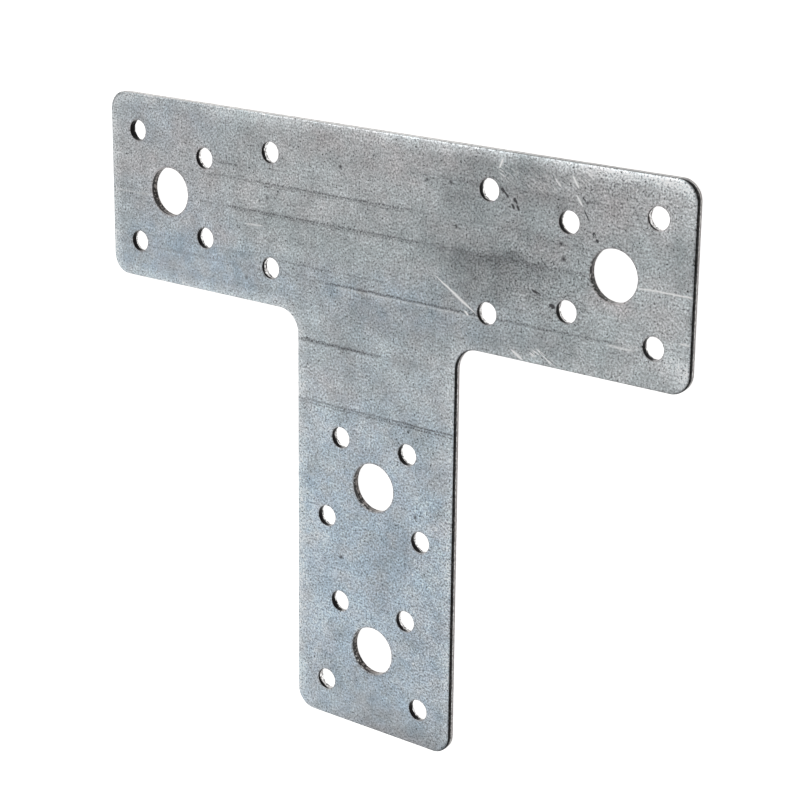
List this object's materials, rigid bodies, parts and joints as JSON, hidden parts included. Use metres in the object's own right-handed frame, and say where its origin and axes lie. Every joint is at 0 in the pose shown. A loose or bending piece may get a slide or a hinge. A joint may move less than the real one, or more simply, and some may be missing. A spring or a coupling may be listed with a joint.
{
  "type": "t plate bracket",
  "caption": "Flat T-shaped plate bracket of galvanised sheet steel with rounded corners, pierced for screws and bolts along both arms and the stem.",
  "frame": {"origin": "on the back face, where the centre lines of the crossbar and of the stem cross", "axes": "+X along the crossbar, -Y down the stem, +Z out of the front face (the face whose sheared edges are rolled over); the back face lies at Z = 0"},
  "size_m": [0.162, 0.1435, 0.002],
  "materials": {
    "galvanised_steel": "matt hot-dip zinc on rolled sheet, finely mottled blue-grey, with rolling lines and light scratches; bare burnished steel on the sheared edges"
  },
  "bodies": {
    "root": {"t_plate": "galvanised_steel"}
  },
  "joints": []
}
